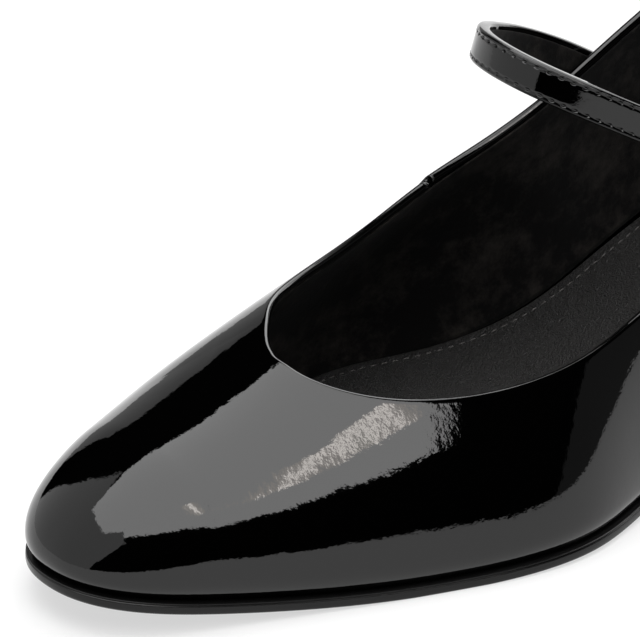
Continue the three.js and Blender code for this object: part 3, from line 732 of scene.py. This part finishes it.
def levelRings(angles, insets, heights, acrossRows):
    # a flat piece's edge in rings (inset and height each), closed over its middle line
    # above and below; heights are functions of the station
    x, station, inX, inStation = outlineFrame(angles)
    front, back = sole["middleEnds"]
    middleX, middle = shape["shift"](station), np.clip(station, front, last["length"] - back)
    rings = []
    for inset, height in zip(insets, heights):
        px, ps = x + inX * inset, station + inStation * inset
        rings.append(np.stack([px, ps, height(ps)], -1))
    for ring, height, below in ((rings[0], heights[0], True), (rings[-1], heights[-1], False)):
        for share in acrossRows:
            px = ring[:, 0] + (middleX - ring[:, 0]) * share
            ps = ring[:, 1] + (middle - ring[:, 1]) * share
            extra = np.stack([px, ps, height(ps)], -1)
            if below:
                rings.insert(0, extra)
            else:
                rings.append(extra)
    return np.stack(rings, 1)


def buildOutsole():
    # the widest outline drawn in under the heel, one thickness, flat where it meets the floor
    angles = evenAngles(sole["columns"])
    station = outlinePoint(angles)[1]
    seatInset = last["heelSeatInset"] * smoothStep(station, *sole["seatFade"])
    insets, heights = [], []
    for inset, share in sole["edge"]:
        insets.append(seatInset + inset)
        heights.append(lambda s, share=share: soleLevel(s, share))
    grid = levelRings(angles, insets, heights, sole["acrossRows"])
    finishPiece(closed(meshFromGrid("sole", grid, True)), soleBlack, "sole_rubber", "outsole")


def soleLevel(station, share):
    # share 0 is the tread, never under the floor, and share 1 the feather edge
    seat = shape["seat"](station)
    under = np.maximum(0, seat - last["soleThickness"])
    return under + (seat - under) * share


# the foot of the inner wall, a gap in
sockInset = last["underInset"] + last["wall"] + last["gap"]


def sockTop(station):
    # the feather edge, the gap and the insole's thickness one on the other
    return shape["seat"](station) + last["gap"] + last["insoleThickness"]


def buildSock():
    # the outline drawn in to the inner wall, its rim a quarter circle
    rim, (underIn, underUp) = sole["sockEdge"], sole["sockUnder"]
    turn = np.radians([0, 25, 50, 75, 90])
    insets = [sockInset + underIn, sockInset] + [sockInset + rim * (1 - math.cos(t)) for t in turn]

    def footLevel(up):
        return lambda s: shape["seat"](s) + last["gap"] + up

    def rimLevel(t):
        return lambda s: sockTop(s) - rim * (1 - math.sin(t))
    heights = [footLevel(0), footLevel(underUp)] + [rimLevel(t) for t in turn]
    grid = levelRings(evenAngles(sole["columns"]), insets, heights, sole["sockRows"])
    finishPiece(closed(meshFromGrid("sock", grid, True)), sockLeather, "sock_leather", "insole")


# a dash of thread: rows along it, sides round it, its ends' share of the radius, merging distance
threadMesh = {"rows": 9, "sides": 6, "end": 0.02, "merge": 2e-5}


def threadRun(name, path, outward, row):
    # dashes of thread along a path: each a short tube that dips in at its ends
    rows, sides = threadMesh["rows"], threadMesh["sides"]
    steps = np.linalg.norm(np.diff(path, axis=0), axis=-1)
    lengths = np.concatenate([[0], np.cumsum(steps)])
    count = int(lengths[-1] / row["pitch"])
    along = np.linspace(-0.5, 0.5, rows)
    places = (np.arange(count)[:, None] + 0.5) * row["pitch"] + along * row["length"]
    centre = np.stack([np.interp(places, lengths, path[:, k]) for k in range(3)], -1)
    out = unit(np.stack([np.interp(places, lengths, outward[:, k]) for k in range(3)], -1))
    forward = unit(np.gradient(centre, axis=1))
    across = unit(np.cross(forward, out))
    bulge = np.sqrt(np.clip(1 - (2 * along) ** 4, 0, 1))
    centre = centre + out * (row["stand"] * bulge[None, :, None] - row["dip"] * (1 - bulge)[None, :, None])
    turn = np.linspace(0, 2 * np.pi, sides + 1)[:-1]
    radius = row["radius"] * np.maximum(bulge, threadMesh["end"])[None, :, None, None]
    tube = centre[:, :, None] + radius * (across[:, :, None] * np.cos(turn)[None, None, :, None]
                                          + out[:, :, None] * np.sin(turn)[None, None, :, None])
    dash, r, s = np.meshgrid(np.arange(count), np.arange(rows - 1), np.arange(sides), indexing="ij")

    def corner(r, s):
        return (dash * rows + r) * sides + s % sides
    faces = np.stack([corner(r, s), corner(r, s + 1), corner(r + 1, s + 1), corner(r + 1, s)], -1)
    piece = meshFromFaces(name, toFrame(tube.reshape(-1, 3)), faces.reshape(-1, 4))
    return closed(piece, threadMesh["merge"])


def buildSockStitches():
    # a row of dashes a set distance in from the sock's rim, open at the back
    angles = np.linspace(-sole["stitchEnd"], sole["stitchEnd"], sole["stitchSamples"])
    x, station, inX, inStation = outlineFrame(angles)
    inset = sockInset + sole["stitchInset"]
    path = np.stack([x + inX * inset, station + inStation * inset, station], -1)
    path[:, 2] = sockTop(path[:, 1])
    outward = np.tile([0.0, 0.0, 1.0], (len(path), 1))
    row = {"pitch": sole["stitchPitch"], "length": sole["stitchLength"], "radius": sole["threadRadius"],
           "stand": sole["threadStand"], "dip": sole["threadDip"]}
    finishPiece(threadRun("sock_stitches", path, outward, row), threadGrey, "sock_leather")


heel = {
    "breastStation": 188.0,
    "topInset": 2.3,
    "footFront": 203.0, "footBack": 243.0,
    "footHalfWidth": 20.5,
    "footPower": 2.5,
    "breastHollow": 2.5,
    "liftThickness": 5.0,
    "waist": 1.4,
    "edge": 0.5,                 # rounding where a face ends
    "columns": 121, "breastColumns": 24,
    "footTurn": 260,             # degrees of the foot's superellipse that the breast leaves
}


def heelRing(share, inset):
    # its back follows the sole's outline at the top and a superellipse at the foot; its front is
    # a hollowed breast, and inset draws the whole ring in
    start = math.degrees(math.acos(1 - 2 * heel["breastStation"] / last["length"]))
    around = np.linspace(0, 1, heel["columns"])
    x, station, inX, inStation = outlineFrame(start + (360 - 2 * start) * around)
    topX, topStation = x + inX * heel["topInset"], station + inStation * heel["topInset"]
    middle = (heel["footFront"] + heel["footBack"]) / 2
    reach = (heel["footBack"] - heel["footFront"]) / 2
    turn = (around - 0.5) * math.radians(heel["footTurn"])
    power = 2 / heel["footPower"]
    footX = -np.sign(np.sin(turn)) * heel["footHalfWidth"] * np.abs(np.sin(turn)) ** power
    footStation = middle + np.sign(np.cos(turn)) * reach * np.abs(np.cos(turn)) ** power
    blend = share ** heel["waist"]
    px, ps = footX + (topX - footX) * blend, footStation + (topStation - footStation) * blend
    across = np.linspace(0, 1, heel["breastColumns"] + 2)[1:-1]
    hollow = heel["breastHollow"] * np.sin(np.pi * across)
    px = np.concatenate([px, px[-1] + (px[0] - px[-1]) * across])
    ps = np.concatenate([ps, ps[-1] + (ps[0] - ps[-1]) * across + hollow])
    ring = np.stack([px, ps], -1)
    centre = ring.mean(0)
    return ring + unit(centre - ring) * inset


def poleRings(ring):
    # a flat face inside a ring: halfway to its middle, then at it
    middle = ring.mean(0, keepdims=True)
    return [ring + (middle - ring) * k for k in (0.5, 1.0)]


def heelBody(name, shares, levels):
    # rings up the heel, one to a level; the first and last are quarter circles of rings
    edge, rings = heel["edge"], []
    turns = {0: [0, 25, 55, 90], len(shares) - 1: [90, 55, 25, 0]}
    for i, (share, level) in enumerate(zip(shares, levels)):
        for t in np.radians(turns.get(i, [90])):
            ring = heelRing(share, edge * (1 - math.sin(t)))
            rise = edge * (1 - math.cos(t)) * (1 if i == 0 else -1)
            height = level(ring[:, 1]) + (rise if i in turns else 0)
            rings.append(np.concatenate([ring, np.broadcast_to(height, (len(ring),))[:, None]], 1))
    rings = poleRings(rings[0])[::-1] + rings + poleRings(rings[-1])
    return closed(meshFromGrid(name, np.stack(rings, 1), True))


def buildHeel():
    # the cover from the lift up to the sole, each level a share of the way; then the flat lift
    low = heel["liftThickness"] + last["gap"]

    def level(share):
        return lambda s: low + (shape["seat"](s) - last["soleThickness"] - last["gap"] - low) * share
    shares = np.concatenate([[0, 0.03], np.linspace(0.06, 0.94, 34), [0.97, 1]])
    body = heelBody("heel_cover", shares, [level(share) for share in shares])
    finishPiece(body, patentBlack, "patent_leather", "heel_block")
    lift = heelBody("heel_lift", [0, 0], [lambda s: 0.0, lambda s: heel["liftThickness"]])
    finishPiece(lift, liftRubber, "lift_rubber", "top_lift")


strap = {
    "width": 6.6, "thickness": 2.5,
    "corner": 0.6,
    "lean": 71.0,                # degrees from the floor to the hoop's axis, towards the heel
    "step": 0.17,
    "stitchInset": 1.0,          # the stitch rows in from the edges
    "stitchPitch": 2.35,
    "grooveDepth": 0.10, "grooveWidth": 0.24,
    "holeDepth": 0.36, "holeLength": 0.30, "holeWidth": 0.22,
    "rowReach": 0.55, "rowSamples": 12,       # fine rows either side of each stitch row
    "rowClear": 0.75, "faceSamples": 7,
    "plainEnd": 2.0,             # no groove and no holes this close to the strap's ends
    "onWall": (128, 154),        # stations over which the face turns to the wall
    "wallFrom": 146, "wallBelow": 62,         # the wall's direction is taken no further forward or up
    "threadSink": 0.14,          # the stitches' path under the face
    "liningNarrower": 2.2, "liningFace": 1.3, "liningThickness": 0.3, "liningCorner": 0.12,
    "liningSink": 0.02,
}

strapThread = {"pitch": strap["stitchPitch"], "length": 1.75, "radius": 0.13, "stand": 0.04, "dip": 0.2}

# middle line of the strap; a leg row lies off the wall by its own distance
medialLeg = [(169, 48.2, 1.6), (160, 53.6, 1.6), (151, 59.6, 1.7)]
hoopRows = [(-24.4, 141, 66.1), (-23.1, 131, 71.6), (-20, 121.8, 76.2), (-14.7, 113.3, 80.4),
            (-7.6, 107.7, 82.8), (-0.1, 105.9, 83.3), (7.4, 107.3, 82.2), (14.1, 112.2, 79.3),
            (19.5, 119.8, 74.9), (23.9, 128.4, 69.9), (28, 138, 64.2), (31.7, 148, 57.6)]
lateralLeg = [(157, 51.3, 6.1), (164, 45.3, 4.4), (171, 39.3, 3.3), (178, 33.4, 3.2)]

buckle = {
    "barStation": 157.5, "barHeight": 50.6,
    "barOff": 2.45,              # middle of the bar off the wall
    "reach": 10.5,               # heel bar to outer bar
    "span": 10.4,                # between the middles of the side bars
    "wire": 1.6,
    "outerBarOff": 8.4,
    "corner": 1.6,
    "keeperStation": 167.5, "keeperHeight": 42.2,
    "keeperTop": 5.5,
    "keeperWidth": 3.6, "keeperWall": 1.0,
    "tabThickness": 1.0, "tabWidth": 6.4,
    "tabRows": [(162.5, 46.4), (167, 42.6), (171.5, 38.8), (176.5, 34.7)],
    "tabTurn": (50, 270),        # degrees round the heel bar
    "tabOnWall": (159, 164),
    "wallClearance": 0.4,
    "keeperClear": 0.1, "keeperFoot": 0.5, "keeperCrown": 0.1,
    "keeperShoulder": (0.8, 0.6),             # where it bends: in, and down from its top
    "bandCorner": 0.35,
}


def legPoint(side, station, height, off):
    # a point of the wall moved out along its normal
    normal = wallNormal(np.float64(side), station, height)
    return (wallPoint(side, station, height) + normal * off).reshape(3)


def smoothCurve(points, step):
    # a centripetal curve through the points, then evenly spaced
    points = np.asarray(points, float)
    held = np.concatenate([[2 * points[0] - points[1]], points, [2 * points[-1] - points[-2]]])
    t, parts = np.linspace(0, 1, 40, endpoint=False)[:, None], []
    for a, b, c, d in zip(held, held[1:], held[2:], held[3:]):
        ab, bc, cd = [max(np.linalg.norm(q - p) ** 0.5, 1e-4) for p, q in ((a, b), (b, c), (c, d))]
        start = ((b - a) / ab - (c - a) / (ab + bc) + (c - b) / bc) * bc
        end = ((c - b) / bc - (d - b) / (bc + cd) + (d - c) / cd) * bc
        parts.append(b + start * t + (3 * c - 3 * b - 2 * start - end) * t ** 2
                     + (2 * b - 2 * c + start + end) * t ** 3)
    line = np.concatenate(parts + [points[-1:]])
    lengths = np.concatenate([[0], np.cumsum(np.linalg.norm(np.diff(line, axis=0), axis=-1))])
    places = np.linspace(0, lengths[-1], int(lengths[-1] / step) + 1)
    return np.stack([np.interp(places, lengths, line[:, k]) for k in range(3)], -1), places


def strapFrames(step):
    # the band's face turns from the hoop's lean to the wall it lies on
    points = [legPoint(-1, *row) for row in medialLeg] + list(hoopRows)
    points += [legPoint(1, *row) for row in lateralLeg]
    centre, places = smoothCurve(points, step)
    along = unit(np.gradient(centre, axis=0))
    lean = math.radians(strap["lean"])
    hoopAxis = np.array([0, math.cos(lean), math.sin(lean)])
    side = np.where(centre[:, 0] > 0, 1.0, -1.0)
    normal = wallNormal(side, np.maximum(centre[:, 1], strap["wallFrom"]),
                        np.minimum(centre[:, 2], strap["wallBelow"]))
    onWall = smoothStep(centre[:, 1], *strap["onWall"])[:, None]
    wallAcross = unit(np.cross(along, normal) * side[:, None])
    wallAcross = wallAcross * np.where(wallAcross @ hoopAxis < 0, -1, 1)[:, None]
    across = hoopAxis * (1 - onWall) + wallAcross * onWall
    across = unit(across - along * (across * along).sum(-1, keepdims=True))
    return centre, places, along, across, unit(np.cross(along, across))


def roundedSection(width, thickness, corner, faceRows, cornerRows=5):
    # a rectangle with round corners, from its outer face round: across, out
    w, t = width / 2, thickness / 2
    turn = np.linspace(0, np.pi / 2, cornerRows + 1)[1:]
    right = np.stack([w - corner + corner * np.sin(turn), t - corner + corner * np.cos(turn)], -1)
    down = np.stack([w - corner + corner * np.cos(turn), corner - t - corner * np.sin(turn)], -1)
    back = np.stack([np.linspace(w - corner, corner - w, 8)[1:-1], np.full(6, -t)], -1)
    face = np.stack([faceRows, np.full(len(faceRows), t)], -1)
    left = np.concatenate([right, down]) * [-1, 1]
    return np.concatenate([face, right, down, back, left[::-1]])


def sweep(name, centre, across, out, section, sink=None):
    # the section carried along the path; both ends are drawn in and closed on a pole
    ring = centre[:, None] + across[:, None] * section[None, :, :1] + out[:, None] * section[None, :, 1:]
    if sink is not None:
        ring = ring - out[:, None] * sink[..., None]
    ends = [ring[:1] + (ring[:1].mean(1, keepdims=True) - ring[:1]) * k for k in (1.0, 0.06)]
    tails = [ring[-1:] + (ring[-1:].mean(1, keepdims=True) - ring[-1:]) * k for k in (0.06, 1.0)]
    return closed(meshFromGrid(name, np.concatenate([*ends, ring, *tails]), False, True))


def buildStrap():
    # the section carried over the hoop; the face sinks in bells along both stitch rows, and
    # further at each hole
    centre, places, _, across, out = strapFrames(strap["step"])
    half, thickness = strap["width"] / 2, strap["thickness"]
    row = half - strap["stitchInset"]
    near = np.linspace(-strap["rowReach"], strap["rowReach"], strap["rowSamples"])
    edge, inside = strap["corner"] - half, row - strap["rowClear"]
    between = np.linspace(-inside, inside, strap["faceSamples"])
    face = np.concatenate([[edge], near - row, between, near + row, [-edge]])
    section = roundedSection(strap["width"], thickness, strap["corner"], face)
    onFace = section[:, 1] > thickness / 2 - 0.01
    aside, run, pitch = section[None, :, 0], places[:, None], strap["stitchPitch"]
    fromHole = (run + pitch / 2) % pitch - pitch / 2
    sink = np.zeros((len(places), len(section)))
    for middle in (-row, row):
        fromRow = ((aside - middle) / strap["holeWidth"]) ** 2
        groove = strap["grooveDepth"] * np.exp(-((aside - middle) / strap["grooveWidth"]) ** 2)
        hole = strap["holeDepth"] * np.exp(-fromRow - (fromHole / strap["holeLength"]) ** 2)
        sink = sink + groove + hole
    sink = sink * onFace * (np.minimum(run, places[-1] - run) > strap["plainEnd"])
    piece = sweep("strap_leather", centre, across, out, section, sink)
    finishPiece(piece, patentBlack, "patent_leather", "instep_strap")
    inner = centre - out * (thickness / 2 + strap["liningSink"])
    rows = np.linspace(strap["liningFace"] - half, half - strap["liningFace"], 12)
    band = roundedSection(strap["width"] - strap["liningNarrower"], strap["liningThickness"],
                          strap["liningCorner"], rows, 3)
    finishPiece(sweep("strap_lining", inner[::4], across[::4], out[::4], band), liningCloth, "lining")
    for name, middle in (("strap_stitches_low", -row), ("strap_stitches_high", row)):
        path = centre + across * middle + out * (thickness / 2 - strap["threadSink"])
        finishPiece(threadRun(name, path[1:], out[1:], strapThread), threadBlack, "patent_leather")


def buckleAxes():
    # along the leg towards its tip, across it, and out from the wall
    point = wallPoint(1, buckle["barStation"], buckle["barHeight"]).reshape(3)
    out = wallNormal(np.float64(1), buckle["barStation"], buckle["barHeight"]).reshape(3)
    return axesAt(point, out)


def axesAt(point, out):
    # forward is the strap's own direction nearest the point, laid square to out
    centre, _, along, _, _ = strapFrames(0.5)
    forward = along[np.argmin(np.linalg.norm(centre - point, axis=-1))]
    forward = unit(forward - out * (forward @ out))
    return point, forward, unit(np.cross(out, forward)), out


def fromLocal(axes, local):
    # local (along, across, out) to the shoe
    point, along, across, out = axes
    return point + local[..., :1] * along + local[..., 1:2] * across + local[..., 2:3] * out


def movePiece(piece, axes):
    # from local millimetres, which toFrame has shifted, to the shoe
    co = np.empty(len(piece.data.vertices) * 3)
    piece.data.vertices.foreach_get("co", co)
    local = co.reshape(-1, 3) * 1000 + [0, last["originStation"], 0]
    piece.data.vertices.foreach_set("co", toFrame(fromLocal(axes, local)).ravel())
    piece.data.update()


def buildBuckle():
    # round wire along a rectangle with rounded corners, which climbs from the heel bar to the outer
    axes = buckleAxes()
    reach, half, corner = buckle["reach"], buckle["span"] / 2, buckle["corner"]
    spots = np.array([[0, -half], [0, half], [-reach, half], [-reach, -half]])
    share = np.linspace(0, 1, 9)[:, None]
    path = []
    for i, spot in enumerate(spots):
        prior, following = unit(spots[i - 1] - spot) * corner, unit(spots[(i + 1) % 4] - spot) * corner
        path.append(spot + prior * (1 - share) ** 2 + following * share ** 2)
        gap = spots[(i + 1) % 4] - spot
        bridge = np.linspace(corner, np.linalg.norm(gap) - corner, 10)[1:-1, None]
        path.append(spot + unit(gap) * bridge)
    path = np.concatenate(path)
    climb = buckle["outerBarOff"] - buckle["barOff"]
    lift = buckle["barOff"] + climb * smoothStep(-path[:, 0], 0, reach)
    path = np.concatenate([path, lift[:, None]], 1)
    along = unit(np.roll(path, -1, 0) - np.roll(path, 1, 0))
    level = unit(np.stack([along[:, 1], -along[:, 0], 0 * along[:, 0]], -1))
    up = np.cross(level, along)
    turn = np.linspace(0, 2 * np.pi, 21)[:-1]
    ring = path[:, None] + buckle["wire"] / 2 * (level[:, None] * np.cos(turn)[None, :, None]
                                                 + up[:, None] * np.sin(turn)[None, :, None])
    piece = closed(meshFromGrid("buckle_ring", fromLocal(axes, ring), True, True))
    finishPiece(piece, buckleMetal, "buckle_metal", "buckle_frame")


prong = {
    "thickness": 0.9, "width": 1.5, "corner": 0.3, "face": 0.45,
    "hook": (-170, 30),          # degrees round the heel bar
    "climb": (-2.6, 3.2),        # along, and out from the hook's radius
    "landing": (-4.6, -1.1),     # along, and out from where it rests
    "restShare": 0.75,
    "tip": (0.6, 0.1),           # past the outer bar, and out from where it rests
}


def buildProng():
    # hooked round the heel bar, up, and down to rest over the outer bar
    barOff, reach = buckle["barOff"], buckle["reach"]
    grip = buckle["wire"] / 2 + last["gap"] + prong["thickness"] / 2
    turn = np.radians(np.linspace(*prong["hook"], 9))
    route = list(np.stack([-grip * np.cos(turn), -grip * np.sin(turn) + barOff], -1))
    resting = buckle["outerBarOff"] + grip
    route += [(prong["climb"][0], barOff + grip + prong["climb"][1]),
              (prong["landing"][0], resting + prong["landing"][1]), (-reach * prong["restShare"], resting),
              (-reach - prong["tip"][0], resting + prong["tip"][1])]
    line, _ = smoothCurve(np.array([(a, 0, o) for a, o in route]), 0.12)
    forward = unit(np.gradient(line, axis=0))
    side = np.tile([0.0, 1.0, 0.0], (len(line), 1))
    face = np.linspace(-prong["face"], prong["face"], 5)
    section = roundedSection(prong["width"], prong["thickness"], prong["corner"], face)
    piece = sweep("prong", line, side, np.cross(side, forward), section)
    movePiece(piece, buckleAxes())
    finishPiece(piece, buckleMetal, "buckle_metal", "buckle_prong")


def flatSection(width, thickness, count):
    # a thin band's section, its face's points even between the corners
    corner, half = buckle["bandCorner"], width / 2
    return roundedSection(width, thickness, corner, np.linspace(corner - half, half - corner, count))


def buildTab():
    # a band round the heel bar, then down the wall; its face turns to the wall on the way
    axes = buckleAxes()
    inner = buckle["wire"] / 2 + last["gap"] + buckle["tabThickness"] / 2
    turn = np.radians(np.linspace(*buckle["tabTurn"], 11))
    loop = np.stack([np.cos(turn) * inner, 0 * turn, buckle["barOff"] + np.sin(turn) * inner], -1)
    off = buckle["wallClearance"] + buckle["tabThickness"] / 2
    route = list(fromLocal(axes, loop)) + [legPoint(1, s, h, off) for s, h in buckle["tabRows"]]
    line, _ = smoothCurve(route, 0.25)
    forward = unit(np.gradient(line, axis=0))
    onWall = smoothStep(line[:, 1], *buckle["tabOnWall"])[:, None]
    normal = wallNormal(np.ones(len(line)), line[:, 1], line[:, 2])
    side = axes[2] * (1 - onWall) + unit(np.cross(normal, forward)) * onWall
    side = unit(side - forward * (side * forward).sum(-1, keepdims=True))
    section = flatSection(buckle["tabWidth"], buckle["tabThickness"], 14)
    piece = sweep("tab_leather", line, side, np.cross(side, forward), section)
    finishPiece(piece, patentBlack, "patent_leather", "buckle_tab")


def buildKeeper():
    # a band up one side of the strap, over it and down the other
    station, height = buckle["keeperStation"], buckle["keeperHeight"]
    axes = axesAt(legPoint(1, station, height, 0), wallNormal(np.float64(1), station, height).reshape(3))
    top, wall = buckle["keeperTop"], buckle["keeperWall"]
    edge = strap["width"] / 2 + last["gap"] + buckle["keeperClear"] + wall / 2
    over, (cornerIn, cornerDown) = top + wall / 2, buckle["keeperShoulder"]
    rise = [(-edge, buckle["keeperFoot"]), (-edge, top * 0.5), (-edge, top - cornerDown),
            (-edge + cornerIn, over)]
    route = [(0, a, o) for a, o in rise] + [(0, 0, over + buckle["keeperCrown"])]
    route += [(0, -a, o) for a, o in rise[::-1]]
    line, _ = smoothCurve(route, 0.2)
    forward = unit(np.gradient(line, axis=0))
    side = np.tile([1.0, 0.0, 0.0], (len(line), 1))
    section = flatSection(buckle["keeperWidth"], wall, 10)
    piece = sweep("keeper_leather", line, side, np.cross(side, forward), section)
    movePiece(piece, axes)
    finishPiece(piece, patentBlack, "patent_leather", "keeper_loop")


patentBlack = patentMaterial()
liningCloth = liningMaterial()
sockLeather = sockMaterial()
soleBlack = soleMaterial()
liftRubber = smallMaterial("liftRubber")
buckleMetal = smallMaterial("buckleMetal", 1.0)
threadGrey = smallMaterial("threadGrey")
threadBlack = smallMaterial("threadBlack")
buildUpper()
buildLining()
print("upper and lining done")
buildOutsole()
buildSock()
buildSockStitches()
buildHeel()
print("sole, sock and heel done")
buildStrap()
buildBuckle()
buildProng()
buildTab()
buildKeeper()
print("strap and buckle done")
